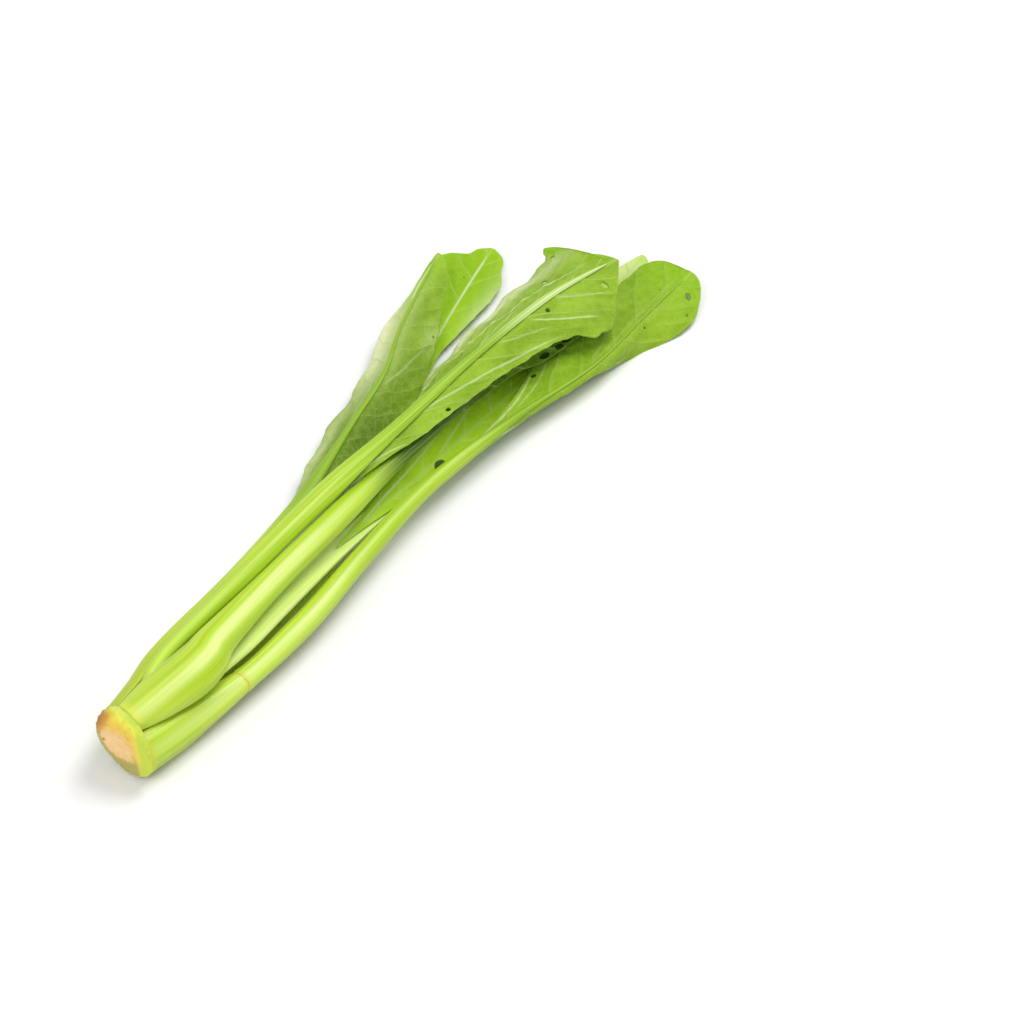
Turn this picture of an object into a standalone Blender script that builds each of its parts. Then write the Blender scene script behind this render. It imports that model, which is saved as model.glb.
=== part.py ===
# Head of choy sum lying on its side: a cut stem base, six leaf stalks and six leaf blades.
# Lengths are in millimetres from the middle of the cut face (x = 0) until metres are made at the end.
# +X runs from the cut end to the leaf tips, +Y to the left of it, +Z up from the resting surface.
import math

import bpy
import numpy as np

MM = 0.001
PART_NAME = "choy_sum"

# Blade sheet and the gap left between a rib and its blade, and between the stem and a stalk
BLADE_THICK = 0.7
GAP = 0.35
# How far the lowest stalk is pressed flat where it rests
REST_PRESS = 0.35

# Facets: round the stem base, round a stalk, along a stalk, along a blade, and across half a blade
STEM_ROUND = 28
STALK_ROUND = 12
STALK_ALONG = 19
BLADE_ALONG = 23
BLADE_ACROSS = (0.0, 0.09, 0.2, 0.35, 0.55, 0.78, 1.0)
# Width over which a blade bends away from its rib
BEND_WIDTH = 3.5

# Stem base: half sizes of the oval, its lean, its centre, and its length along the middle
STEM_HALF_LONG = 13.9
STEM_HALF_SHORT = 10.9
STEM_LEAN = math.radians(32.0)
STEM_CENTRE_Y = 1.3
STEM_CENTRE_Z = 13.2
STEM_LENGTH = 4.6
# The cut face leans back along the long half of the oval
CUT_SLOPE = -0.09
# Rings of the stem base: share of its length, share of its half sizes, and shift along the oval
STEM_RINGS = (
    (0.0, 0.5, 2.0), (0.12, 0.73, 1.3), (0.3, 0.87, 0.7), (0.6, 0.96, 0.2), (1.0, 0.985, 0.0),
)
# The front of the stem base slants, so the stalks start further forward at the top left
SLANT_UP = 0.18
SLANT_LEFT = 0.1
SLANT_REACH = 45.0

# Each leaf: "way" rows are x, y, z and roll of the outer side in degrees (0 up, 90 to +Y),
# "stalk" rows are x, width, thickness, channel and edge wrap,
# "left" and "right" rows, seen on the outer side with the tip ahead, are x, half width,
# bend at the rib and curl to the margin in degrees,
# "wave" is the height, length and start of the waves of the margin.
LEAVES = {
    "broad_leaf": {
        "way": (
            (4.5, 3.9, 20.4, -12), (22, 2.5, 21.6, -9), (36, 1.7, 22.3, -6), (44, 2.0, 22.5, -5),
            (52, 4.0, 22.7, -4), (60, 5.1, 22.8, -4), (85, 8.2, 22.8, -3), (128, 12.4, 22.6, 0),
            (150, 14.9, 21.3, 2), (175, 17.6, 20.0, 5), (218, 21.0, 17.6, 8), (262, 24.0, 15.4, 5),
            (288, 25.0, 14.2, 0),
        ),
        "stalk": (
            (4.5, 11.4, 6.2, 0.3, 0.5), (22, 17.4, 8.0, 0.3, 1.5), (36, 19.8, 9.0, 0.3, 2.0),
            (44, 18.2, 9.0, 0.3, 1.8), (52, 14.6, 9.0, 0.2, 1.1), (60, 13.0, 9.0, 0.2, 0.6),
            (85, 10.4, 8.8, 0.2, 0.4), (128, 9.8, 7.8, 0.4, 0.3), (150, 7.8, 6.6, 0.7, 0.2),
            (175, 6.6, 5.2, 0.9, 0.1), (218, 4.6, 3.4, 0.9, 0.0), (262, 2.8, 2.0, 0.9, 0.0),
            (284, 1.8, 1.2, 0.9, 0.0),
        ),
        "left": (
            (172, 1.0, 20, 10), (200, 7, 25, 15), (232, 15, 22, 15), (258, 17, 20, 10),
            (275, 13, 18, 8), (284, 6.5, 15, 5), (288, 1.0, 15, 0),
        ),
        "right": (
            (172, 1.0, 20, 10), (205, 2.6, 35, 10), (235, 4.5, 35, 15), (252, 9, 26, 8),
            (270, 10, 20, 5), (282, 6, 15, 5), (288, 1.0, 15, 0),
        ),
        "wave": (0.6, 31.0, 0.4),
    },
    "top_leaf": {
        "way": (
            (4.5, 6.4, 14.0, 60), (22, 10.2, 16.6, 58), (32, 13.7, 18.3, 54), (40, 15.0, 19.5, 50),
            (60, 16.0, 21.4, 44), (85, 17.5, 23.4, 34), (128, 20.7, 25.8, 24), (172, 22.8, 28.0, 14),
            (216, 25.4, 28.6, 8), (262, 27.2, 26.6, 4), (304, 24.8, 21.6, 0),
        ),
        "stalk": (
            (4.5, 4.8, 4.0, 0.3, 0.1), (22, 5.6, 4.8, 0.2, 0.1), (40, 6.2, 5.6, 0.2, 0.1),
            (60, 7.2, 6.6, 0.1, 0.1), (85, 8.0, 7.6, 0.1, 0.1), (128, 9.2, 8.0, 0.1, 0.1),
            (172, 8.0, 5.4, 0.9, 0.1), (216, 5.4, 4.0, 0.9, 0.0), (262, 3.8, 2.9, 0.9, 0.0),
            (297, 2.2, 1.6, 0.9, 0.0),
        ),
        "left": (
            (134, 0.8, 30, 0), (150, 4, 32, 5), (172, 7, 34, 8), (188, 10, 34, 10), (200, 17, 30, 14),
            (228, 21.5, 22, 18), (258, 23, 18, 20), (276, 24.5, 16, 20), (288, 29, 12, 22),
            (294.5, 30, 10, 20), (297.5, 24, 8, 17), (298.8, 12.5, 6, 12), (300.5, 9.5, 5, 9),
            (302.5, 8, 5, 8), (304, 1.0, 5, 0),
        ),
        "right": (
            (134, 1.0, 20, 5), (152, 4, 22, 5), (172, 7.5, 26, 8), (193, 9.5, 28, 10),
            (228, 12.5, 26, 10), (252, 15.5, 22, 12), (263, 18, 20, 12), (269, 22.5, 20, 12),
            (277, 23, 20, 14), (284, 20.5, 20, 12), (290, 14, 16, 10), (296, 8.5, 12, 6),
            (300, 4.5, 8, 3), (304, 1.0, 5, 0),
        ),
        "wave": (0.9, 27.0, 1.2),
    },
    "right_leaf": {
        "way": (
            (4.5, -5.4, 10.9, -74), (22, -5.8, 9.6, -72), (40, -6.2, 9.0, -68), (60, -6.3, 8.9, -62),
            (85, -5.2, 9.6, -56), (128, 0.7, 11.0, -50), (175, 5.8, 11.8, -42), (218, 4.8, 11.8, -16),
            (262, 0.9, 11.2, -2), (296, 4.6, 9.8, -1), (328, 8.0, 7.8, 0),
        ),
        "stalk": (
            (4.5, 15.8, 7.6, 0.5, 0.8), (22, 15.6, 8.2, 0.4, 1.0), (40, 11.6, 8.0, 0.3, 0.8),
            (60, 8.6, 7.6, 0.2, 0.5), (85, 9.0, 8.2, 0.2, 0.4), (128, 7.6, 6.8, 0.3, 0.2),
            (175, 6.2, 4.8, 0.9, 0.1), (218, 3.4, 2.6, 0.9, 0.0), (240, 2.2, 1.7, 0.9, 0.0),
            (262, 1.6, 1.3, 0.9, 0.0), (300, 1.3, 1.0, 0.9, 0.0), (322, 1.1, 0.8, 0.9, 0.0),
        ),
        "left": (
            (188, 1.0, 20, 0), (214, 4.5, 20, 4), (224, 7, 14, 4), (234, 11, 8, 2), (244, 16, 4, 2),
            (254, 19.5, 3, 1), (270, 22, 2, 0), (300, 20.5, 2, 0), (314, 22, 2, 2), (322, 22.2, 2, 3),
            (326.5, 19, 2, 3), (328.4, 12, 2, 2), (329, 1.0, 2, 0),
        ),
        "right": (
            (188, 1.0, 60, 0), (210, 5, 110, 10), (240, 8.5, 126, 10), (258, 9.6, 120, 8),
            (272, 9.6, 104, 4), (285, 10.5, 72, 4), (298, 13, 38, 4), (308, 14, 26, 4),
            (317, 11.5, 22, 4), (324, 7.5, 18, 3), (328, 3.5, 12, 2), (329, 1.0, 10, 0),
        ),
        "wave": (0.5, 34.0, 2.6),
    },
    "inner_leaf": {
        "way": (
            (4.5, 2.8, 13.2, 194), (22, 2.7, 14.8, 190), (40, 0.5, 17.1, 188), (60, 0.9, 17.0, 188),
            (85, 3.6, 16.7, 190), (110, 6.2, 15.6, 188), (128, 8.3, 14.2, 184), (150, 10.9, 11.8, 172),
            (175, 13.0, 8.8, 162), (218, 16.6, 6.4, 166), (262, 20.0, 5.6, 174), (300, 25.4, 4.7, 178),
            (326, 29.4, 4.2, 178),
        ),
        "stalk": (
            (4.5, 5.6, 6.0, 0.5, 0.1), (22, 7.4, 6.6, 0.7, 0.1), (40, 9.0, 6.8, 0.9, 0.1),
            (60, 9.4, 7.6, 1.0, 0.1), (85, 9.0, 7.6, 1.0, 0.1), (128, 7.6, 5.8, 1.0, 0.1),
            (175, 5.8, 4.0, 0.9, 0.1), (218, 4.6, 3.2, 0.9, 0.0), (262, 3.4, 2.4, 0.9, 0.0),
            (300, 2.6, 1.8, 0.9, 0.0), (320, 1.8, 1.3, 0.9, 0.0),
        ),
        "left": (
            (122, 0.4, 4, 0), (140, 2.2, 6, 0), (158, 4, 8, 0), (175, 6.5, 4, 0), (218, 8, 2, 0),
            (240, 9, 2, 0), (262, 11, 2, 0), (290, 11.4, 2, 0), (308, 10.2, 2, 0), (318, 7, 2, 0),
            (325, 3, 2, 0), (327, 1.0, 2, 0),
        ),
        "right": (
            (122, 0.4, 4, 0), (140, 2.2, 8, 2), (155, 4.6, 14, 6), (175, 9, 18, 16), (200, 10, 20, 18),
            (218, 10.5, 20, 14), (234, 10.5, 12, 6), (250, 11, 2, 0), (275, 12, 0, 0), (300, 11, 2, 0),
            (312, 9.4, 2, 0), (321, 6.5, 2, 0), (327, 1.0, 2, 0),
        ),
        "wave": (0.3, 29.0, 0.9),
    },
    "back_leaf": {
        "way": (
            (4.5, 12.3, 14.9, 72), (22, 15.6, 14.5, 74), (40, 20.4, 13.3, 75), (60, 22.5, 13.8, 73),
            (85, 24.0, 15.4, 62), (128, 31.0, 16.6, 40), (150, 37.0, 17.0, 30), (177, 45.4, 17.2, 20),
            (198, 51.6, 17.0, 13), (208, 55.8, 16.6, 10), (218, 61.4, 16.0, 8), (228, 66.6, 15.2, 6),
            (244, 73.4, 14.2, 4), (272, 85.0, 11.6, 0),
        ),
        "stalk": (
            (4.5, 11.0, 5.2, 0.5, 0.3), (22, 10.2, 6.0, 0.4, 0.3), (40, 9.2, 6.6, 0.3, 0.3),
            (60, 8.8, 6.8, 0.3, 0.3), (85, 8.6, 6.8, 0.3, 0.3), (128, 6.5, 5.2, 0.8, 0.2),
            (177, 3.4, 2.8, 0.9, 0.0), (211, 2.2, 1.9, 0.9, 0.0), (244, 1.6, 1.4, 0.9, 0.0),
            (268, 1.2, 1.0, 0.9, 0.0),
        ),
        "left": (
            (96, 0.8, 0, 0), (112, 4.6, 0, 3), (130, 9, 0, 5), (150, 12, 6, 6), (177, 15, 16, 10),
            (200, 14.2, 24, 12), (214, 12, 28, 12), (226, 10.4, 30, 12), (236, 8.8, 28, 12),
            (243, 5, 26, 8), (250, 2.8, 22, 5), (264, 2.0, 15, 0), (273, 1.0, 10, 0),
        ),
        "right": (
            (108, 0.8, 30, 5), (130, 5, 44, 5), (150, 9, 46, 5), (177, 13, 44, 6), (205, 15.5, 38, 6),
            (219, 15.5, 36, 6), (230, 14.5, 34, 6), (241, 12.6, 32, 4), (252, 10, 28, 3),
            (262, 7, 24, 2), (269, 4, 18, 0), (273, 1.0, 10, 0),
        ),
        "wave": (0.6, 25.0, 0.2),
    },
    "under_leaf": {
        "way": (
            (4.5, 2.8, 5.0, 170), (22, 3.8, 4.8, 175), (40, 5.0, 4.8, 178), (85, 8.0, 4.7, 180),
            (128, 15.0, 4.4, 178), (175, 31.6, 3.7, 180), (218, 50.4, 3.0, 180), (243, 60.8, 2.7, 180),
            (270, 70.0, 2.3, 180), (297, 78.2, 1.9, 180),
        ),
        "stalk": (
            (4.5, 11, 5.2, 0.5, 0.5), (22, 13, 6.8, 0.4, 0.6), (40, 13.2, 7.2, 0.4, 0.5),
            (85, 12, 7.0, 0.4, 0.3), (128, 9.6, 6.2, 0.7, 0.2), (175, 7.0, 4.8, 0.9, 0.1),
            (218, 5.0, 3.6, 0.9, 0.0), (245, 4.0, 3.0, 0.9, 0.0), (287, 2.2, 1.6, 0.9, 0.0),
        ),
        "left": (
            (180, 1.0, 6, 0), (205, 3.6, 4, 2), (222, 3, 4, 2), (232, 3.4, 4, 2), (243, 6, 5, 2),
            (259, 10, 5, 3), (274, 12, 5, 2), (279, 11, 4, 2), (284, 8.6, 4, 2), (291, 6.4, 3, 0),
            (295.5, 1.0, 3, 0),
        ),
        "right": (
            (180, 1.0, 6, 0), (205, 7, 2, 0), (240, 8.5, 1, 0), (262, 12, 1, 0), (276, 16, 1, 0),
            (283, 16.8, 1, 0), (287, 13.5, 1, 0), (289.5, 7, 1, 0), (293, 5, 1, 0), (295.5, 1.0, 1, 0),
        ),
        "wave": (0.3, 22.0, 0.5),
    },
}

STALK_COLOUR = (0.62, 0.77, 0.18)
PALE_STALK_COLOUR = (0.70, 0.84, 0.36)
BLADE_COLOUR = (0.28, 0.52, 0.06)
CUT_COLOUR = (0.86, 0.62, 0.33)


def smooth(table, x):
    # Rows of a table blended along x without overshoot
    rows = np.array(table, dtype=float)
    knots = rows[:, 0]
    values = rows[:, 1:]
    steps = np.diff(knots)[:, None]
    slopes = np.diff(values, axis=0) / steps
    tangents = np.zeros_like(values)
    before = slopes[:-1]
    after = slopes[1:]
    same_way = before * after > 0
    mean = np.where(same_way, 2 * before * after / np.where(same_way, before + after, 1.0), 0.0)
    tangents[1:-1] = mean
    tangents[0] = slopes[0]
    tangents[-1] = slopes[-1]
    x = np.clip(np.asarray(x, dtype=float), knots[0], knots[-1])
    i = np.clip(np.searchsorted(knots, x) - 1, 0, len(knots) - 2)
    h = steps[i]
    t = ((x - knots[i])[:, None]) / h
    a = (1 + 2 * t) * (1 - t) ** 2
    b = t * (1 - t) ** 2
    c = t * t * (3 - 2 * t)
    d = t * t * (t - 1)
    return a * values[i] + b * h * tangents[i] + c * values[i + 1] + d * h * tangents[i + 1]


def frame_along(leaf, x):
    # Centre line, direction, side and outward directions of a leaf at each x
    x = np.asarray(x, dtype=float)
    way = smooth(leaf["way"], x)
    ahead = smooth(leaf["way"], x + 1.0)
    behind = smooth(leaf["way"], x - 1.0)
    centre = np.column_stack([x, way[:, 0], way[:, 1]])
    run = np.column_stack([np.full(len(x), 2.0), ahead[:, 0] - behind[:, 0], ahead[:, 1] - behind[:, 1]])
    run /= np.linalg.norm(run, axis=1)[:, None]
    side = np.cross(np.array([0.0, 0.0, 1.0]), run)
    side /= np.linalg.norm(side, axis=1)[:, None]
    up = np.cross(run, side)
    roll = np.radians(way[:, 2])[:, None]
    outward = np.cos(roll) * up + np.sin(roll) * side
    across = np.cos(roll) * side - np.sin(roll) * up
    return centre, run, across, outward


def slant(points, x):
    # Near the stem the stalks are cut off along the slanting front of the stem base
    fade = np.clip(1.0 - (x - STEM_LENGTH - GAP) / SLANT_REACH, 0.0, 1.0)[:, None] ** 2
    shift = SLANT_UP * (points[..., 2] - STEM_CENTRE_Z) + SLANT_LEFT * (points[..., 1] - STEM_CENTRE_Y)
    moved = points.copy()
    moved[..., 0] = (1.0 - fade) * points[..., 0] + fade * (x[:, None] + shift)
    return moved


def stalk_rings(leaf, x, count):
    # Closed sections of a stalk: round outside, channel inside, edges wrapped inward
    x = np.asarray(x, dtype=float)
    centre, run, across, outward = frame_along(leaf, x)
    size = smooth(leaf["stalk"], x)
    turn = 2 * math.pi * (np.arange(count) + 0.5) / count
    c = np.cos(turn)[None, :]
    s = np.sin(turn)[None, :]
    width = size[:, 0:1]
    thick = size[:, 1:2]
    channel = size[:, 2:3]
    wrap = size[:, 3:4]
    outer = 0.6 * thick * s
    inner = 0.4 * thick * s * (1.0 - channel)
    height = np.where(s >= 0, outer, inner) - wrap * c * c
    points = centre[:, None, :] + (0.5 * width * c)[..., None] * across[:, None, :]
    return slant(points + height[..., None] * outward[:, None, :], x)


def blade_sheet(leaf, x, places):
    # Middle surface of a blade: one row per x, columns from the left margin to the right one
    centre, run, across, outward = frame_along(leaf, x)
    size = smooth(leaf["stalk"], x)
    belly = np.maximum(0.4 * size[:, 1] * (1.0 - size[:, 2]), 0.0) + size[:, 3]
    start = centre - (belly + GAP + 0.5 * BLADE_THICK)[:, None] * outward
    high, length, phase = leaf["wave"]
    fine = np.linspace(0.0, 1.0, 41)
    halves = []
    for sign, key in ((1.0, "left"), (-1.0, "right")):
        half = smooth(leaf[key], x)
        reach = half[:, 0:1] * fine[None, :]
        bend = np.radians(half[:, 1:2]) * np.clip(reach / BEND_WIDTH, 0.0, 1.0)
        angle = bend + np.radians(half[:, 2:3]) * fine[None, :]
        step = half[:, 0:1] * (fine[1] - fine[0])
        mid = 0.5 * (angle[:, 1:] + angle[:, :-1])
        zero = np.zeros((len(x), 1))
        out = np.hstack([zero, np.cumsum(np.cos(mid) * step, axis=1)])
        drop = np.hstack([zero, np.cumsum(np.sin(mid) * step, axis=1)])
        swing = high * np.clip(half[:, 0:1] / 14.0, 0.0, 1.0) * fine[None, :] ** 2
        ripple = swing * np.sin(2 * math.pi * x[:, None] / length + phase * (1.0 + 0.6 * sign))
        out = out + ripple * np.sin(angle)
        drop = drop - ripple * np.cos(angle)
        at = np.array(places)
        out = np.array([np.interp(at, fine, row) for row in out])
        drop = np.array([np.interp(at, fine, row) for row in drop])
        points = start[:, None, :] + sign * out[..., None] * across[:, None, :]
        halves.append(points - drop[..., None] * outward[:, None, :])
    return np.concatenate([halves[0][:, ::-1], halves[1][:, 1:]], axis=1)


def sheet_normals(points):
    # Unit normals of a grid of points, facing the outer side of the leaf
    along = np.gradient(points, axis=0)
    over = np.gradient(points, axis=1)
    normal = np.cross(over, along)
    return normal / np.linalg.norm(normal, axis=2)[..., None]


def stations(first, last, count, crowd):
    # Places along x, closer together toward the far end
    t = np.linspace(0.0, 1.0, count)
    return first + (last - first) * (1.0 - (1.0 - t) ** crowd)


def tube(rings):
    # Faces round a row of closed rings with a flat end at each end
    rows, count = rings.shape[:2]
    verts = [tuple(p) for p in rings.reshape(-1, 3)]
    faces = []
    for i in range(rows - 1):
        for k in range(count):
            n = (k + 1) % count
            a = i * count + k
            b = i * count + n
            c = (i + 1) * count + n
            d = (i + 1) * count + k
            faces.append((a, b, c))
            faces.append((a, c, d))
    faces.append(tuple(range(count - 1, -1, -1)))
    faces.append(tuple((rows - 1) * count + k for k in range(count)))
    return verts, faces


def slab(points):
    # A sheet given its thickness, both faces split into triangles alike
    rows, cols = points.shape[:2]
    normal = sheet_normals(points)
    top = points + 0.5 * BLADE_THICK * normal
    low = points - 0.5 * BLADE_THICK * normal
    verts = [tuple(p) for p in top.reshape(-1, 3)] + [tuple(p) for p in low.reshape(-1, 3)]
    under = rows * cols
    faces = []
    for i in range(rows - 1):
        for j in range(cols - 1):
            a = i * cols + j
            b = a + 1
            c = a + cols + 1
            d = a + cols
            faces.append((a, b, c))
            faces.append((a, c, d))
            faces.append((under + a, under + c, under + b))
            faces.append((under + a, under + d, under + c))
    rim = [j for j in range(cols)]
    rim += [i * cols + cols - 1 for i in range(1, rows)]
    rim += [(rows - 1) * cols + j for j in range(cols - 2, -1, -1)]
    rim += [i * cols for i in range(rows - 2, 0, -1)]
    for k in range(len(rim)):
        a = rim[k]
        b = rim[(k + 1) % len(rim)]
        faces.append((b, a, under + a))
        faces.append((b, under + a, under + b))
    return verts, faces


def stem_rings():
    # Oval stem base with a rounded rim, a leaning cut face and a slanting front
    long_axis = np.array([math.cos(STEM_LEAN), math.sin(STEM_LEAN)])
    short_axis = np.array([-math.sin(STEM_LEAN), math.cos(STEM_LEAN)])
    turn = 2 * math.pi * np.arange(STEM_ROUND) / STEM_ROUND
    rings = []
    for share, swell, lift in STEM_RINGS:
        wobble = swell * (1.0 + 0.02 * np.sin(3 * turn + 0.6) + 0.012 * np.sin(5 * turn))
        out = STEM_HALF_LONG * wobble * np.cos(turn) + lift
        flat = np.outer(out, long_axis) + np.outer(STEM_HALF_SHORT * wobble * np.sin(turn), short_axis)
        reach = STEM_LENGTH + SLANT_UP * flat[:, 1] + SLANT_LEFT * flat[:, 0]
        cut = CUT_SLOPE * out
        x = cut + share * (reach - cut)
        rings.append(np.column_stack([x, flat[:, 0] + STEM_CENTRE_Y, flat[:, 1] + STEM_CENTRE_Z]))
    return np.array(rings)


def all_bodies():
    # Every piece as a name, a kind, and its points and faces
    bodies = [("stem_base", "cut", tube(stem_rings()))]
    for name, leaf in LEAVES.items():
        first = STEM_LENGTH + GAP
        x = stations(first, leaf["stalk"][-1][0], STALK_ALONG, 1.0)
        kind = "pale" if name == "inner_leaf" else "stalk"
        bodies.append((name + "_stalk", kind, tube(stalk_rings(leaf, x, STALK_ROUND))))
        x = stations(leaf["left"][0][0], leaf["left"][-1][0], BLADE_ALONG, 1.35)
        bodies.append((name + "_blade", "blade", slab(blade_sheet(leaf, x, BLADE_ACROSS))))
    return bodies


def material(name, colour, roughness):
    mat = bpy.data.materials.new(name)
    mat.use_nodes = True
    shader = mat.node_tree.nodes["Principled BSDF"]
    shader.inputs["Base Color"].default_value = (*colour, 1.0)
    shader.inputs["Roughness"].default_value = roughness
    shader.inputs["Metallic"].default_value = 0.0
    return mat


def build():
    for old in list(bpy.data.objects):
        bpy.data.objects.remove(old)
    group = bpy.data.collections.new(PART_NAME)
    bpy.context.scene.collection.children.link(group)
    looks = {
        "cut": (CUT_COLOUR, 0.6),
        "stalk": (STALK_COLOUR, 0.35),
        "pale": (PALE_STALK_COLOUR, 0.35),
        "blade": (BLADE_COLOUR, 0.45),
    }
    bodies = all_bodies()
    cloud = np.vstack([np.array(verts) for name, kind, (verts, faces) in bodies])
    low = cloud.min(axis=0)
    high = cloud.max(axis=0)
    # The middle of the footprint goes to the origin and the lowest stalk is pressed flat
    shift = np.array([0.5 * (low[0] + high[0]), 0.5 * (low[1] + high[1]), low[2] + REST_PRESS])
    for name, kind, (verts, faces) in bodies:
        points = np.array(verts) - shift
        points[:, 2] = np.maximum(points[:, 2], 0.0)
        mesh = bpy.data.meshes.new(name)
        mesh.from_pydata([tuple(p * MM) for p in points], [], faces)
        mesh.update()
        colour, roughness = looks[kind]
        mesh.materials.append(material(name, colour, roughness))
        for face in mesh.polygons:
            face.use_smooth = len(face.vertices) == 3
        obj = bpy.data.objects.new(name, mesh)
        group.objects.link(obj)


build()
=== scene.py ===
# Looks of a head of choy sum that lies on a pale surface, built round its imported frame.
# Lengths are in millimetres, with x from the cut face, until a mesh is made in metres.
import math

import bpy
import numpy as np
from mathutils import Matrix, Vector


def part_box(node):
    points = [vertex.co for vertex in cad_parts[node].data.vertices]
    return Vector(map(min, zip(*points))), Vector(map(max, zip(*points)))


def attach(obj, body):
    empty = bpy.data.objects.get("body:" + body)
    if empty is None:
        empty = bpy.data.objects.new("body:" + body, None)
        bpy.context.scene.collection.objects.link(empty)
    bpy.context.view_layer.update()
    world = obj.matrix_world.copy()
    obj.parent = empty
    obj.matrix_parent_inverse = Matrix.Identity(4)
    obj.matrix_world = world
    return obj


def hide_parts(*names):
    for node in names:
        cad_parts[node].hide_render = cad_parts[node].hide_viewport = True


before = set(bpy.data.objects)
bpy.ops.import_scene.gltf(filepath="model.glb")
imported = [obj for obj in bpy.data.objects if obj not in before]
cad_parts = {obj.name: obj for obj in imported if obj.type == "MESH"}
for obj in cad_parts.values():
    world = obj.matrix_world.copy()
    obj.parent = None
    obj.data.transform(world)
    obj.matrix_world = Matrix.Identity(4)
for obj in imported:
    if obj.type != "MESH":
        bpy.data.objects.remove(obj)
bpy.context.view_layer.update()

MM = 0.001

# Gap between a rib and its blade, thickness of a packed blade, and width of its bend at the rib
GAP = 0.35
SOLID_THICK = 0.7
BEND_WIDTH = 3.5
# Thickness of the fine blade by its rib and at its margin
BLADE_THICK = 0.62
MARGIN_THICK = 0.34

# Stem base: half sizes of the oval, its lean, its centre, its length, and the slope of the cut face
STEM_HALF_LONG = 13.9
STEM_HALF_SHORT = 10.9
STEM_LEAN = math.radians(32.0)
STEM_CENTRE_Y = 1.3
STEM_CENTRE_Z = 13.2
STEM_LENGTH = 4.6
CUT_SLOPE = -0.09
# Rings of the stem base: share of its length, share of its half sizes, and shift along the oval
STEM_RINGS = (
    (0.0, 0.5, 2.0), (0.12, 0.73, 1.3), (0.3, 0.87, 0.7), (0.6, 0.96, 0.2), (1.0, 0.985, 0.0),
)
# Points round each ring as packed and in the fine mesh, and rings of the fine cut face and skin
PACKED_ROUND = 28
FINE_ROUND = 128
FACE_RINGS = 16
SKIN_RINGS = 33
# The front of the stem base slants, and the slant fades out along the stalks
SLANT_UP = 0.18
SLANT_LEFT = 0.1
SLANT_REACH = 45.0

# Shares of a stalk's thickness on its outer and inner side, and the length of the taper at its tip
OUTER_SHARE = 0.6
INNER_SHARE = 0.4
TIP_LENGTH = 9.0
# Half width from which a margin waves fully, and how far in from it the margin's look can reach
FULL_WAVE_WIDTH = 14.0
MARGIN_REACH = 6.0

# Fine grids: along and round a stalk, along a blade and across half of it
STALK_ROWS = 230
STALK_ROUND = 56
BLADE_ROWS = 290
HALF_COLUMNS = 34

# Colours, linear
OUTER_DARK = (0.245, 0.43, 0.008)
OUTER_LIGHT = (0.36, 0.575, 0.026)
INNER_DARK = (0.36, 0.65, 0.002)
INNER_LIGHT = (0.48, 0.78, 0.004)
LIME = (0.29, 0.56, 0.002)
PALE_BLADE = (0.98, 0.99, 0.62)
# Dark green for painted shade, also used for the random dark grain of the blades
SHADE_AND_GRAIN_GREEN = (0.10, 0.205, 0.002)
# Near black green for painted shade in the bites that don't go through
HOLE_SHADE = (0.012, 0.045, 0.002)
# Darker green for painted shade
DEEP_SHADE_GREEN = (0.035, 0.085, 0.003)
VEIN = (0.57, 0.76, 0.18)
BUNDLE = (0.74, 0.86, 0.42)
STALK_DARK = (0.36, 0.56, 0.008)
STALK_MID = (0.50, 0.73, 0.022)
STALK_LIGHT = (0.84, 0.94, 0.33)
STALK_FOOT = (0.62, 0.74, 0.12)
SHADY_DARK = (0.24, 0.42, 0.004)
SHADY_LIGHT = (0.36, 0.58, 0.012)
PALE_DARK = (0.70, 0.88, 0.20)
PALE_LIGHT = (0.90, 0.98, 0.46)
OLIVE = (0.40, 0.45, 0.02)
RUST = (0.60, 0.24, 0.035)
BARK = (0.28, 0.14, 0.03)
PITH = (0.88, 0.57, 0.24)
PITH_LIGHT = (0.92, 0.66, 0.32)
FIBRE = (0.84, 0.58, 0.08)
FRINGE = (0.76, 0.76, 0.07)
FOOT_GREEN = (0.54, 0.69, 0.06)
SCAR_GREEN = (0.46, 0.66, 0.012)
SKIN = (0.46, 0.42, 0.12)

# The dark green tints are painted shade, where a blade lies under other leaves.
# The dark of these bites is painted shade, as seen through a hole.
# The pale band is partly a painted highlight, and the olive sides partly painted shade.
# Each leaf:
# "way" rows are x, y, z and roll of the outer side in degrees (0 up, 90 to +Y).
# "stalk" rows are x, width, thickness, channel and edge wrap.
# "left" and "right" rows are x, half width, bend at the rib and curl to the margin in degrees.
# "wave" is the height, length and start of the waves of the margin, and "scallop" the size of its lobes.
# "stalk_colours" are dark, middle and light; its foot and the fringe of the cut have their own colours.
# "ridge" is the place, half width and strength of its pale band, and "flank" how olive its sides are.
# "fade" is where the rib takes "rib_colours", and "pale_rib" where its pale bundles fade in, and their
# strength.
# "crack" is the place of a node crack, or 0, and "ribbing" the height of the long ridges.
# "veins" are the spacing of the side veins, how far forward they run, their curve, and their start on
# the left and right; "vein_show" is how plain they are, "relief" the height of veins and bulges.
# "tints" are a name, the middle along and across the blade, the reach along and across, and the strength.
# "streaks" are single pale lines: from u and v to u and v, how far they bow out, and their strength.
# "marks" are bites that don't go through: the place along and across, the radius, and how far they point.
# "holes" are bites that do: the place along and across the blade and the radius.
SHARED = {
    "stalk_colours": (STALK_DARK, STALK_MID, STALK_LIGHT),
    "foot_colour": STALK_FOOT,
    "fringe_colour": FRINGE,
    "pale_rib": (),
    "crack": 0.0,
    "ribbing": 0.006,
    "scallop": 0.01,
    "streaks": (),
    "shade_marks": (),
    "holes": (),
    "slot": "stalk",
}
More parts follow.
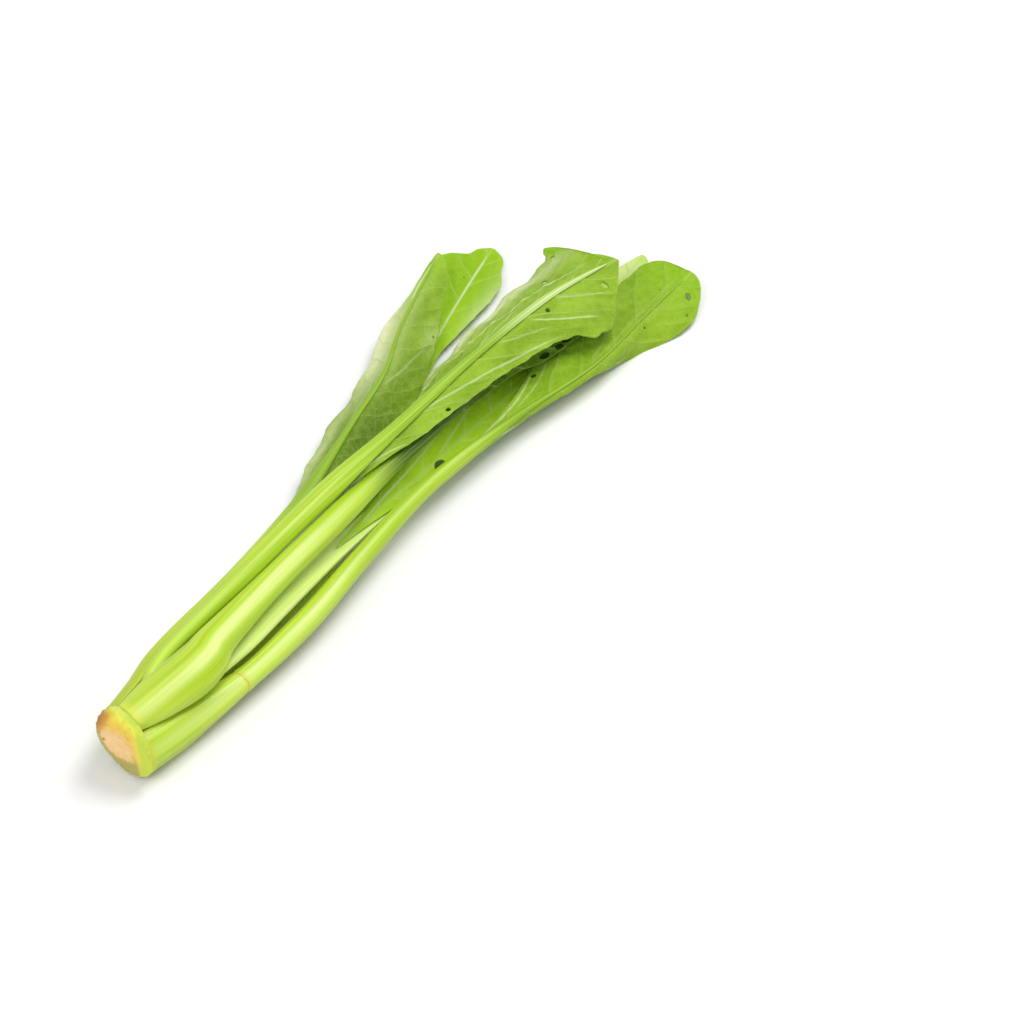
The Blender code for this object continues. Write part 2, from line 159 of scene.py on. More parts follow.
LEAVES = {
    "broad_leaf": {
        "way": (
            (4.5, 3.9, 20.4, -12), (22, 2.5, 21.6, -9), (36, 1.7, 22.3, -6), (44, 2.3, 22.5, -5),
            (52, 4.3, 22.7, -4), (60, 5.3, 22.8, -4), (85, 8.2, 22.8, -3), (128, 12.4, 22.6, 0),
            (150, 14.9, 21.3, 2), (175, 17.6, 20.0, 5), (218, 21.0, 17.6, 8), (262, 24.0, 15.4, 5),
            (288, 25.0, 14.2, 0),
        ),
        "stalk": (
            (4.5, 11.4, 6.2, 0.3, 0.5), (22, 17.4, 8.0, 0.3, 1.5), (36, 19.8, 9.0, 0.3, 2.0),
            (44, 18.8, 9.0, 0.3, 1.8), (52, 15.2, 9.0, 0.2, 1.1), (60, 13.2, 9.0, 0.2, 0.6),
            (85, 10.4, 8.8, 0.2, 0.4), (128, 9.8, 7.8, 0.4, 0.3), (150, 7.8, 6.6, 0.7, 0.2),
            (175, 6.6, 5.2, 0.9, 0.1), (218, 4.6, 3.4, 0.9, 0.0), (262, 2.8, 2.0, 0.9, 0.0),
            (284, 1.8, 1.2, 0.9, 0.0),
        ),
        "left": (
            (172, 1.0, 20, 10), (200, 7, 25, 15), (232, 15, 22, 15), (258, 17, 20, 10),
            (275, 13, 18, 8), (284, 6.5, 15, 5), (288, 1.0, 15, 0),
        ),
        "right": (
            (172, 1.0, 20, 10), (205, 2.6, 35, 10), (235, 4.5, 35, 15), (252, 9, 26, 8),
            (270, 10, 20, 5), (282, 6, 15, 5), (288, 1.0, 15, 0),
        ),
        "wave": (0.6, 31.0, 0.4),
        "ridge": (2.4, 3.4, 0.6),
        "flank_shade": 0.15,
        # Toward its tip the rib is dark: painted shade, where it runs under top_leaf
        "rib_colours": (DEEP_SHADE_GREEN, SHADE_AND_GRAIN_GREEN),
        "fade": (138, 172),
        "veins": (14.0, 1.3, 0.012, 3.0, 9.0),
        "vein_show": 0.5,
        "relief": (0.2, 0.25),
        "tints": (("dusk", 215, 0, 90, 40, 0.9),),
        "shade_marks": ((258.4, -8.0, 1.2, 0.1), (263.6, -7.6, 1.3, 0.2), (250.6, -7.0, 1.3, -0.1)),
    },
    "top_leaf": {
        "way": (
            (4.5, 6.4, 14.0, 60), (22, 10.2, 16.6, 58), (32, 13.7, 18.3, 54), (40, 15.0, 19.5, 50),
            (60, 16.0, 21.4, 44), (85, 17.5, 23.4, 34), (128, 20.7, 25.8, 24), (172, 22.8, 28.0, 14),
            (216, 25.4, 28.6, 8), (262, 27.2, 26.6, 4), (304, 24.8, 21.6, 0),
        ),
        "stalk": (
            (4.5, 4.8, 4.0, 0.3, 0.1), (22, 5.6, 4.8, 0.2, 0.1), (40, 6.2, 5.6, 0.2, 0.1),
            (60, 7.2, 6.6, 0.1, 0.1), (85, 8.0, 7.6, 0.1, 0.1), (128, 9.2, 8.0, 0.1, 0.1),
            (172, 6.2, 4.2, 0.9, 0.1), (216, 3.8, 2.8, 0.9, 0.0), (262, 2.9, 1.9, 0.9, 0.0),
            (297, 1.7, 1.1, 0.9, 0.0),
        ),
        "left": (
            (134, 0.8, 30, 0), (150, 4, 32, 5), (172, 7, 34, 8), (188, 10, 34, 10), (200, 17, 30, 14),
            (228, 21.5, 22, 18), (258, 23, 18, 20), (276, 24.5, 16, 20), (288, 26.5, 12, 21),
            (292, 26.5, 11, 21), (294, 27.5, 10, 20), (296, 30.5, 10, 20), (297.8, 31.5, 9, 18),
            (299.2, 28, 8, 16), (300, 21, 7, 13), (300.4, 15, 6, 11), (300.8, 9.8, 5, 9),
            (302.5, 7.5, 5, 8), (304, 1.0, 5, 0),
        ),
        "right": (
            (134, 1.0, 20, 5), (152, 4, 22, 5), (172, 7.5, 26, 8), (193, 9.5, 28, 10),
            (228, 12.5, 26, 10), (252, 15.5, 22, 12), (263, 18, 20, 12), (269, 22.5, 20, 12),
            (277, 23, 20, 14), (284, 20.5, 20, 12), (290, 14, 16, 10), (296, 8.5, 12, 6),
            (300, 4.5, 8, 3), (304, 1.0, 5, 0),
        ),
        "wave": (0.9, 27.0, 1.2),
        "fringe_colour": OLIVE,
        "ridge": (2.2, 3.0, 0.12),
        "flank_shade": 0.2,
        "rib_colours": (OUTER_DARK, OUTER_LIGHT),
        "pale_rib": (222, 256, 0.75),
        "fade": (128, 185),
        "ribbing": 0.008,
        "veins": (17.0, 1.75, 0.02, 4.0, 12.0),
        "vein_show": 0.4,
        "relief": (0.3, 0.35),
        "scallop": 0.012,
        "tints": (
            ("lime", 298.5, 27, 4.0, 6.0, 0.95), ("lime", 302, 7, 3, 6, 0.9),
            ("pale", 240, 21, 55, 4.5, 0.85), ("dusk", 282, 20, 12, 5, 0.25),
        ),
        "streaks": (
            (193, 16, 298, 6.5, -0.7, 0.75), (178, 0, 260, -15.4, 0, 0.6), (148, -1, 171, -7, 0.6, 0.6),
            (251, -2.5, 279, -16.8, -1.2, 0.7), (268, -1.5, 290, -10, -0.8, 0.4),
            (232, -1.5, 256, -9, -0.8, 0.35), (176, 3, 205, 9, 0.8, 0.4), (222, 1.5, 262, 8, 0.8, 0.4),
        ),
        "holes": (
            (277.5, 12.9, 1.0), (260.7, -3.9, 1.0), (194.2, -7.8, 0.9), (294.4, 24.0, 0.9),
            (290.2, -7.1, 1.4), (283.2, 25.0, 0.5),
        ),
    },
    "right_leaf": {
        "way": (
            (4.5, -5.4, 10.9, -74), (22, -5.8, 9.6, -72), (40, -6.2, 9.0, -68), (60, -6.3, 8.9, -62),
            (85, -5.2, 9.6, -56), (128, 0.7, 11.0, -50), (175, 5.8, 11.8, -42), (218, 4.8, 11.8, -16),
            (262, 0.9, 11.2, -2), (296, 4.6, 9.8, -1), (328, 8.0, 7.8, 0),
        ),
        "stalk": (
            (4.5, 15.8, 7.6, 0.5, 0.8), (22, 15.6, 8.2, 0.4, 1.0), (40, 11.6, 8.0, 0.3, 0.8),
            (60, 8.6, 7.6, 0.2, 0.5), (85, 9.0, 8.2, 0.2, 0.4), (128, 7.6, 6.8, 0.3, 0.2),
            (175, 6.2, 4.8, 0.9, 0.1), (218, 3.0, 2.0, 0.9, 0.0), (240, 1.6, 0.9, 0.9, 0.0),
            (262, 1.0, 0.6, 0.9, 0.0), (300, 0.7, 0.4, 0.9, 0.0), (322, 0.6, 0.3, 0.9, 0.0),
        ),
        "left": (
            (188, 1.0, 20, 0), (214, 4.5, 20, 4), (224, 7, 14, 4), (234, 11, 8, 2), (244, 16, 4, 2),
            (254, 19.5, 3, 1), (270, 21, 2, 0), (300, 19.2, 2, 0), (314, 18.6, 2, 2), (322, 17.8, 2, 3),
            (326.5, 16, 2, 3), (328.4, 11.5, 2, 2), (329, 1.0, 2, 0),
        ),
        "right": (
            (188, 1.0, 60, 0), (210, 5, 110, 10), (240, 8.5, 126, 10), (258, 9.6, 120, 8),
            (272, 9.6, 104, 4), (285, 10.5, 72, 4), (298, 13, 38, 4), (308, 14, 26, 4),
            (317, 11.5, 22, 4), (324, 7.5, 18, 3), (328, 3.5, 12, 2), (329, 1.0, 10, 0),
        ),
        "wave": (0.5, 34.0, 2.6),
        "foot_colour": STALK_MID,
        "ridge": (-2.6, 3.4, 0.5),
        "flank_shade": 0.8,
        "rib_colours": (OUTER_DARK, OUTER_DARK),
        "fade": (180, 225),
        "crack": 53.6,
        "veins": (19.0, 1.25, 0.018, 6.0, 14.0),
        "vein_show": 0.22,
        "relief": (0.2, 0.3),
        "tints": (
            ("lime", 324, 2, 15, 24, 1.0), ("lime", 240, 4, 30, 9, 0.35), ("lime", 266, 12, 4, 3, 0.6),
            ("dusk", 247, 16, 14, 4, 0.5), ("dusk", 262, 20, 18, 5, 0.3),
        ),
        "streaks": (
            (204, -0.4, 282, -8, -1.5, 0.65), (212, 3, 241, 13.8, -2.2, 0.6), (222, 3, 252, 16, -2.0, 0.35),
            (198, 1.6, 224, 5.5, -0.5, 0.5), (262, 3, 296, 14, -1.5, 0.2), (256, 2, 330, 3, 0, 0.12),
        ),
        "holes": (
            (317.5, -5.8, 1.3), (310.2, -10.6, 0.5), (240.6, 12.2, 1.1), (250, 15.8, 1.1),
            (260.7, 16.2, 1.1), (265.2, 16.9, 1.1), (291.2, -2.8, 0.45), (313, 4.4, 0.4),
        ),
    },
    "inner_leaf": {
        "way": (
            (4.5, 2.8, 13.2, 194), (22, 2.7, 14.8, 190), (40, 0.5, 17.1, 188), (60, 0.9, 17.0, 188),
            (85, 3.6, 16.7, 190), (110, 6.2, 15.6, 188), (128, 8.3, 14.2, 184), (150, 10.9, 11.8, 172),
            (175, 13.0, 8.8, 162), (218, 16.6, 6.4, 166), (262, 20.0, 5.6, 174), (300, 25.4, 4.7, 178),
            (326, 29.4, 4.2, 178),
        ),
        "stalk": (
            (4.5, 5.6, 6.0, 0.5, 0.1), (22, 7.4, 6.6, 0.7, 0.1), (40, 9.0, 6.8, 0.9, 0.1),
            (60, 9.4, 7.6, 1.0, 0.1), (85, 9.0, 7.6, 1.0, 0.1), (128, 7.6, 5.8, 1.0, 0.1),
            (175, 5.8, 4.0, 0.9, 0.1), (218, 4.6, 3.2, 0.9, 0.0), (262, 3.4, 2.4, 0.9, 0.0),
            (300, 2.6, 1.8, 0.9, 0.0), (320, 1.8, 1.3, 0.9, 0.0),
        ),
        "left": (
            (122, 0.4, 4, 0), (140, 2.2, 6, 0), (158, 4, 8, 0), (175, 6.5, 4, 0), (218, 8, 2, 0),
            (240, 9, 2, 0), (262, 11, 2, 0), (290, 11.4, 2, 0), (308, 10.2, 2, 0), (318, 7, 2, 0),
            (325, 3, 2, 0), (327, 1.0, 2, 0),
        ),
        "right": (
            (122, 0.4, 4, 0), (140, 2.2, 8, 2), (155, 4.6, 14, 6), (175, 9, 18, 16), (200, 10, 20, 18),
            (218, 10.5, 20, 14), (234, 10.5, 12, 6), (250, 11, 2, 0), (275, 11, 0, 0), (300, 8, 2, 0),
            (312, 5.4, 2, 0), (321, 3, 2, 0), (327, 1.0, 2, 0),
        ),
        "wave": (0.3, 29.0, 0.9),
        "stalk_colours": (PALE_DARK, PALE_LIGHT, PALE_LIGHT),
        "foot_colour": PALE_LIGHT,
        "fringe_colour": PALE_LIGHT,
        "ridge": (0.0, 5.0, 0.6),
        "flank_shade": 0.0,
        "rib_colours": (INNER_LIGHT, LIME),
        "fade": (150, 205),
        "veins": (14.0, 1.1, 0.02, 2.0, 8.0),
        "vein_show": 0.6,
        "relief": (0.2, 0.2),
        "tints": (("lime", 228, -6, 16, 8, 0.4), ("pale", 316, -2, 13, 9, 0.6)),
        "streaks": (
            (136, 0, 196, -7.4, 0, 0.7), (160, 1.5, 196, 6.5, 0, 0.4), (186, -1, 226, -9.6, 0, 0.4),
        ),
        "shade_marks": ((184.0, 1.5, 1.8, -0.35),),
        "slot": "pale_stalk",
    },
    "back_leaf": {
        "way": (
            (4.5, 12.3, 14.9, 72), (22, 15.6, 14.5, 74), (40, 20.4, 13.3, 75), (60, 22.5, 13.8, 73),
            (85, 24.0, 15.4, 62), (128, 31.0, 16.6, 40), (150, 37.0, 17.0, 30), (177, 45.4, 17.2, 20),
            (198, 51.6, 17.0, 13), (208, 55.8, 16.6, 10), (218, 61.4, 16.0, 8), (228, 66.6, 15.2, 6),
            (244, 73.4, 14.2, 4), (272, 85.0, 11.6, 0),
        ),
        "stalk": (
            (4.5, 11.0, 5.2, 0.5, 0.3), (22, 10.2, 6.0, 0.4, 0.3), (40, 9.2, 6.6, 0.3, 0.3),
            (60, 8.8, 6.8, 0.3, 0.3), (85, 8.6, 6.8, 0.3, 0.3), (128, 6.5, 5.2, 0.8, 0.2),
            (177, 2.6, 1.8, 0.9, 0.0), (211, 1.4, 0.8, 0.9, 0.0), (244, 1.0, 0.6, 0.9, 0.0),
            (268, 0.7, 0.4, 0.9, 0.0),
        ),
        "left": (
            (96, 0.8, 0, 0), (112, 4.6, 0, 3), (130, 9, 0, 5), (150, 12, 6, 6), (177, 15, 16, 10),
            (200, 14.2, 24, 12), (214, 12, 28, 12), (226, 10.4, 30, 12), (236, 8.8, 28, 12),
            (243, 5, 26, 8), (250, 2.8, 22, 5), (264, 2.0, 15, 0), (273, 1.0, 10, 0),
        ),
        "right": (
            (108, 0.8, 30, 5), (130, 5, 44, 5), (150, 9, 46, 5), (177, 13, 44, 6), (205, 15.5, 38, 6),
            (219, 15.5, 36, 6), (230, 14.5, 34, 6), (241, 12.6, 32, 4), (252, 10, 28, 3),
            (262, 7, 24, 2), (269, 4, 18, 0), (273, 1.0, 10, 0),
        ),
        "wave": (0.6, 25.0, 0.2),
        "foot_colour": OLIVE,
        "fringe_colour": OLIVE,
        "ridge": (-2.0, 2.4, 0.25),
        "flank_shade": 0.5,
        "rib_colours": (OUTER_DARK, OUTER_DARK),
        "fade": (92, 140),
        "veins": (12.0, 0.75, 0.02, 3.0, 10.0),
        "vein_show": 0.2,
        "relief": (0.15, 0.25),
        "scallop": 0.02,
        "tints": (
            ("pale", 226, 9, 30, 8, 1.0), ("pale", 160, 11, 40, 4, 0.45), ("lime", 264, 2, 8, 6, 0.6),
            ("dusk", 168, -7, 46, 11, 1.0), ("pale", 232, -12, 9, 4, 0.2),
        ),
        "streaks": ((243, 0.8, 269, -0.2, 0.8, 0.8), (150, 0, 212, 5, 0, 0.3), (196, -1, 226, -12, 0, 0.3)),
        "holes": ((232, -12.5, 0.5),),
    },
    "under_leaf": {
        "way": (
            (4.5, 2.8, 5.0, 170), (22, 3.8, 4.8, 175), (40, 5.0, 4.8, 178), (85, 8.0, 4.7, 180),
            (128, 15.0, 4.4, 178), (175, 31.6, 3.7, 180), (218, 50.4, 3.0, 180), (243, 60.8, 2.7, 180),
            (270, 70.0, 2.3, 180), (297, 78.2, 1.9, 180),
        ),
        "stalk": (
            (4.5, 11, 5.2, 0.5, 0.5), (22, 13, 6.8, 0.4, 0.6), (40, 13.2, 7.2, 0.4, 0.5),
            (85, 12, 7.0, 0.4, 0.3), (128, 9.6, 6.2, 0.7, 0.2), (175, 7.0, 4.8, 0.9, 0.1),
            (218, 5.0, 3.6, 0.9, 0.0), (245, 4.0, 3.0, 0.9, 0.0), (287, 2.2, 1.6, 0.9, 0.0),
        ),
        "left": (
            (180, 1.0, 6, 0), (205, 3.6, 4, 2), (222, 3, 4, 2), (232, 3.4, 4, 2), (243, 6, 5, 2),
            (259, 10, 5, 3), (274, 12, 5, 2), (279, 11, 4, 2), (284, 8.6, 4, 2), (291, 6.4, 3, 0),
            (295.5, 1.0, 3, 0),
        ),
        "right": (
            (180, 1.0, 6, 0), (205, 7, 2, 0), (240, 8.5, 1, 0), (262, 12, 1, 0), (276, 16, 1, 0),
            (283, 16.8, 1, 0), (287, 13.5, 1, 0), (289.5, 7, 1, 0), (293, 5, 1, 0), (295.5, 1.0, 1, 0),
        ),
        "wave": (0.3, 22.0, 0.5),
        "stalk_colours": (SHADY_DARK, SHADY_LIGHT, STALK_MID),
        "fringe_colour": SKIN,
        "ridge": (0.0, 4.0, 0.3),
        "flank_shade": 0.2,
        "rib_colours": (INNER_LIGHT, LIME),
        "fade": (140, 200),
        "veins": (14.0, 1.0, 0.015, 5.0, 11.0),
        "vein_show": 0.4,
        "relief": (0.2, 0.2),
        "tints": (("lime", 278, -3, 30, 24, 0.9), ("pale", 262, 12.5, 24, 5.5, 0.95)),
        "streaks": ((244, -1, 269, -7.6, -0.6, 0.75), (240, 0, 294, 0, 0, 0.9)),
        "holes": ((276, -3.2, 0.4),),
    },
}


def smooth(table, x):
    # Rows of a table blended along x without overshoot
    rows = np.array(table, dtype=float)
    knots = rows[:, 0]
    values = rows[:, 1:]
    steps = np.diff(knots)[:, None]
    slopes = np.diff(values, axis=0) / steps
    tangents = np.zeros_like(values)
    before = slopes[:-1]
    after = slopes[1:]
    same_way = before * after > 0
    mean = np.where(same_way, 2 * before * after / np.where(same_way, before + after, 1.0), 0.0)
    tangents[1:-1] = mean
    tangents[0] = slopes[0]
    tangents[-1] = slopes[-1]
    x = np.clip(np.asarray(x, dtype=float), knots[0], knots[-1])
    i = np.clip(np.searchsorted(knots, x) - 1, 0, len(knots) - 2)
    h = steps[i]
    t = ((x - knots[i])[:, None]) / h
    a = (1 + 2 * t) * (1 - t) ** 2
    b = t * (1 - t) ** 2
    c = t * t * (3 - 2 * t)
    d = t * t * (t - 1)
    return a * values[i] + b * h * tangents[i] + c * values[i + 1] + d * h * tangents[i + 1]


def frame_along(leaf, x):
    # Centre line, side and outward directions of a leaf at each x
    way = smooth(leaf["way"], x)
    ahead = smooth(leaf["way"], x + 1.0)
    behind = smooth(leaf["way"], x - 1.0)
    centre = np.column_stack([x, way[:, 0], way[:, 1]])
    run = np.column_stack([np.full(len(x), 2.0), ahead[:, 0] - behind[:, 0], ahead[:, 1] - behind[:, 1]])
    run /= np.linalg.norm(run, axis=1)[:, None]
    side = np.cross(np.array([0.0, 0.0, 1.0]), run)
    side /= np.linalg.norm(side, axis=1)[:, None]
    up = np.cross(run, side)
    roll = np.radians(way[:, 2])[:, None]
    outward = np.cos(roll) * up + np.sin(roll) * side
    across = np.cos(roll) * side - np.sin(roll) * up
    return centre, across, outward


def slant(points, x):
    # Near the stem the stalks are cut off along the slanting front of the stem base
    fade = np.clip(1.0 - (x - STEM_LENGTH - GAP) / SLANT_REACH, 0.0, 1.0)[:, None] ** 2
    shift = SLANT_UP * (points[..., 2] - STEM_CENTRE_Z) + SLANT_LEFT * (points[..., 1] - STEM_CENTRE_Y)
    moved = points.copy()
    moved[..., 0] = (1.0 - fade) * points[..., 0] + fade * (x[:, None] + shift)
    return moved


# Formulas that both the meshes (arrays) and the materials (node values) use
class Value:
    def __init__(self, tree, socket):
        self.tree = tree
        self.socket = socket

    def math(self, operation, *others):
        node = self.tree.nodes.new("ShaderNodeMath")
        node.operation = operation
        for place, item in enumerate((self, *others)):
            if isinstance(item, Value):
                self.tree.links.new(item.socket, node.inputs[place])
            else:
                node.inputs[place].default_value = item
        return Value(self.tree, node.outputs[0])

    def __add__(self, other):
        return self.math("ADD", other)

    def __sub__(self, other):
        return self.math("SUBTRACT", other)

    def __mul__(self, other):
        return self.math("MULTIPLY", other)

    def __rsub__(self, other):
        return self.math("MULTIPLY_ADD", -1.0, other)

    __radd__ = __add__
    __rmul__ = __mul__


def magnitude(a):
    return a.math("ABSOLUTE") if isinstance(a, Value) else np.abs(a)


def sign(a):
    return a.math("SIGN") if isinstance(a, Value) else np.sign(a)


def sine(a):
    return a.math("SINE") if isinstance(a, Value) else np.sin(a)


def fraction(a):
    return a.math("FRACT") if isinstance(a, Value) else a - np.floor(a)


def ramp(a, low, high):
    # From 0 at low to 1 at high with soft ends
    if isinstance(a, Value):
        node = a.tree.nodes.new("ShaderNodeMapRange")
        node.interpolation_type = "SMOOTHSTEP"
        settings(node, {"From Min": low, "From Max": high})
        a.tree.links.new(a.socket, node.inputs["Value"])
        return Value(a.tree, node.outputs["Result"])
    t = np.clip((a - low) / (high - low), 0.0, 1.0)
    return t * t * (3 - 2 * t)


def fall(a, low, high):
    # From 1 at low to 0 at high
    return 1.0 - ramp(a, low, high)


def side_veins(u, v, plan):
    # Distances in mm to the nearest main and lesser side vein at a place of a blade
    spacing, forward, curve, left_start, right_start = plan
    away = magnitude(v)
    half = sign(v)
    w = u - away * forward - away * away * curve
    w = w + sine(w * 0.17 + half * 1.9) * 1.5 + sine(away * 0.55 + w * 0.31) * 0.55
    start = half * (0.5 * (left_start - right_start)) + 0.5 * (left_start + right_start)
    t = (w - start) * (1.0 / spacing)
    lean = spacing / math.hypot(1.0, forward)
    main = (0.5 - magnitude(fraction(t) - 0.5)) * lean
    lesser = (0.5 - magnitude(fraction(t + 0.5) - 0.5)) * lean
    return main, lesser


def streak(u, v, plan):
    # 1 on a single line across a blade, 0 beside it
    u0, v0, u1, v1, bow, strength = plan
    t = (u - u0) * (1.0 / (u1 - u0))
    off = magnitude(v - v0 - t * (v1 - v0) - t * (1.0 - t) * (4.0 * bow))
    return fall(off, 0.1, 0.7) * ramp(t, 0.0, 0.12) * fall(t, 0.8, 1.0) * strength


def mark(u, v, plan):
    # 1 in a bite that goes only part of the way through a blade, painted dark as shade, 0 round it
    mu, mv, radius, peak = plan
    du = (u - mu) * 0.5
    dv = v - mv + du * 0.3 + magnitude(du) * peak
    return fall(du * du + dv * dv, 0.6 * radius * radius, radius * radius)


# Meshes
def stalk_grid(name, leaf):
    # Closed sections with fine long ridges; the last rows taper to the tip of the rib
    first = STEM_LENGTH + 0.5 * GAP
    last = leaf["stalk"][-1][0] + 1.5
    x = np.linspace(first, last, STALK_ROWS)
    centre, across, outward = frame_along(leaf, x)
    size = smooth(leaf["stalk"], x)
    turn = 2 * math.pi * (np.arange(STALK_ROUND) + 0.5) / STALK_ROUND
    c = np.cos(turn)[None, :]
    s = np.sin(turn)[None, :]
    tip = np.sqrt(np.clip((last - x) / TIP_LENGTH, 0.004, 1.0))[:, None]
    width = size[:, 0:1] * tip
    thick = size[:, 1:2] * tip
    hollow = INNER_SHARE * thick * s * (1.0 - size[:, 2:3])
    height = np.where(s >= 0, OUTER_SHARE * thick * s, hollow) - size[:, 3:4] * c * c
    # The fine ridges lie differently on each stalk
    seed = 1.7 * (sum(ord(k) for k in name) % 13)
    bands = np.sin(7 * turn + seed)[None, :] + 0.6 * np.sin(12 * turn + 2.1 * seed + 0.006 * x[:, None])
    bands = bands + 0.4 * np.sin(23 * turn + 0.7 * seed)[None, :]
    grain = leaf["ribbing"] * width * bands * ramp(s, -0.1, 0.35)
    grain = grain + 0.12 * np.sin(0.11 * x + seed)[:, None] * np.cos(2 * turn + seed)[None, :]
    ring = 0.0
    if leaf["crack"] > 0:
        # A node crack: a shallow step right round the stalk
        past = x - leaf["crack"]
        ring = -0.25 * np.exp(-(past / 0.5) ** 2) + 0.2 * np.exp(-((past - 1.7) / 1.4) ** 2)
        ring = ring[:, None]
    grow = (grain + ring) * np.clip(thick / 3.0, 0.0, 1.0)
    points = centre[:, None, :] + ((0.5 * width + grow) * c)[..., None] * across[:, None, :]
    points = points + (height + grow * s)[..., None] * outward[:, None, :]
    points = slant(points, x)
    steps = np.linalg.norm(np.roll(points, -1, axis=1) - points, axis=2)
    arc = np.hstack([np.zeros((len(x), 1)), np.cumsum(steps, axis=1)])
    crest = arc[:, STALK_ROUND // 4][:, None]
    return points, x, arc - crest


def blade_grid(leaf):
    # Middle surface of a blade and its places: u along from the cut face, v out from the rib
    first = leaf["left"][0][0]
    last = leaf["left"][-1][0]
    t = np.linspace(0.0, 1.0, BLADE_ROWS)
    # Rows are closer toward the tip
    x = first + (last - first) * (1.0 - (1.0 - t) ** 1.35)
    centre, across, outward = frame_along(leaf, x)
    size = smooth(leaf["stalk"], x)
    belly = np.maximum(INNER_SHARE * size[:, 1] * (1.0 - size[:, 2]), 0.0) + size[:, 3]
    start = centre - (belly + GAP + 0.5 * SOLID_THICK)[:, None] * outward
    high, length, phase = leaf["wave"]
    # Each half is bent at these shares of its width, then read off where the margin is
    fine = np.linspace(0.0, 1.1, 56)
    places = np.linspace(0.0, 1.0, HALF_COLUMNS)
    halves = []
    spreads = []
    for way, key in ((1.0, "left"), (-1.0, "right")):
        half = smooth(leaf[key], x)
        reach = half[:, 0:1] * fine[None, :]
        bend = np.radians(half[:, 1:2]) * np.clip(reach / BEND_WIDTH, 0.0, 1.0)
        angle = bend + np.radians(half[:, 2:3]) * np.minimum(fine, 1.0)[None, :]
        step = half[:, 0:1] * (fine[1] - fine[0])
        mid = 0.5 * (angle[:, 1:] + angle[:, :-1])
        zero = np.zeros((len(x), 1))
        out = np.hstack([zero, np.cumsum(np.cos(mid) * step, axis=1)])
        drop = np.hstack([zero, np.cumsum(np.sin(mid) * step, axis=1)])
        full = np.clip(half[:, 0:1] / FULL_WAVE_WIDTH, 0.0, 1.0)
        swing = high * full * np.minimum(fine, 1.0)[None, :] ** 2
        ripple = swing * np.sin(2 * math.pi * x[:, None] / length + phase * (1.0 + 0.6 * way))
        out = out + ripple * np.sin(angle)
        drop = drop - ripple * np.cos(angle)
        lobes = np.sin(0.57 * x + way) + 0.6 * np.sin(1.13 * x + 2.2 * way) + 0.15 * np.sin(2.3 * x)
        edge = 1.0 + leaf["scallop"] * lobes
        at = places[None, :] * (1.0 + (edge[:, None] - 1.0) * places[None, :] ** 3)
        out = np.array([np.interp(a, fine, row) for a, row in zip(at, out)])
        drop = np.array([np.interp(a, fine, row) for a, row in zip(at, drop)])
        points = start[:, None, :] + way * out[..., None] * across[:, None, :]
        halves.append(points - drop[..., None] * outward[:, None, :])
        spreads.append(way * half[:, 0:1] * at)
    points = np.concatenate([halves[0][:, ::-1], halves[1][:, 1:]], axis=1)
    v = np.concatenate([spreads[0][:, ::-1], spreads[1][:, 1:]], axis=1)
    share = np.abs(np.linspace(-1.0, 1.0, 2 * HALF_COLUMNS - 1))[None, :]
    u = np.repeat(x[:, None], v.shape[1], axis=1)
    widest = np.concatenate([np.abs(v[:, :1]), np.abs(v[:, -1:])], axis=1)
    near = np.where(np.linspace(1.0, -1.0, v.shape[1])[None, :] > 0, widest[:, :1], widest[:, 1:])
    margin = np.clip(near * (1.0 - share), 0.0, MARGIN_REACH)
    rib = 0.5 * size[:, 0:1] + np.zeros_like(v)
    return points, u, v, margin, rib


def normals(points):
    # Unit normals of a grid of points, facing the outer side of the leaf
    along = np.gradient(points, axis=0)
    over = np.gradient(points, axis=1)
    normal = np.cross(over, along)
    return normal / np.linalg.norm(normal, axis=2)[..., None]


def blade_faces(points, u, v, margin, leaf):
    # Outer and inner faces with raised veins and bulges between them
    normal = normals(points)
    vein, bulge = leaf["relief"]
    main, lesser = side_veins(u, v, leaf["veins"])
    away = np.abs(v)
    clear = ramp(away, 1.5, 6.0) * ramp(margin, 0.0, 2.5)
    lean = leaf["veins"][0] / math.hypot(1.0, leaf["veins"][1])
    swell = -bulge * np.sin(math.pi * np.clip(2 * main / lean, 0.0, 1.0) / 2) ** 0.8
    swell = swell + 0.22 * np.sin(0.83 * u + 0.4 * v) * np.sin(0.61 * v - 0.35 * u)
    soft = swell * clear
    ridge = vein * fall(main, 0.15, 1.1) * ramp(margin, 0.0, 2.0)
    for plan in leaf["streaks"]:
        ridge = ridge + 0.25 * streak(u, v, plan)
    small = 0.45 * vein * fall(lesser, 0.1, 0.8)
    ridge = ridge + small * ramp(away, 3.0, 9.0) * ramp(margin, 0.0, 2.0)
    thick = MARGIN_THICK + (BLADE_THICK - MARGIN_THICK) * ramp(margin, 0.0, 3.0)
    for plan in leaf["shade_marks"]:
        soft = soft + 0.2 * mark(u, v, plan)
    outer = points + (soft + ridge + 0.5 * thick)[..., None] * normal
    inner = points + (soft + 0.35 * ridge - 0.5 * thick)[..., None] * normal
    return outer, inner


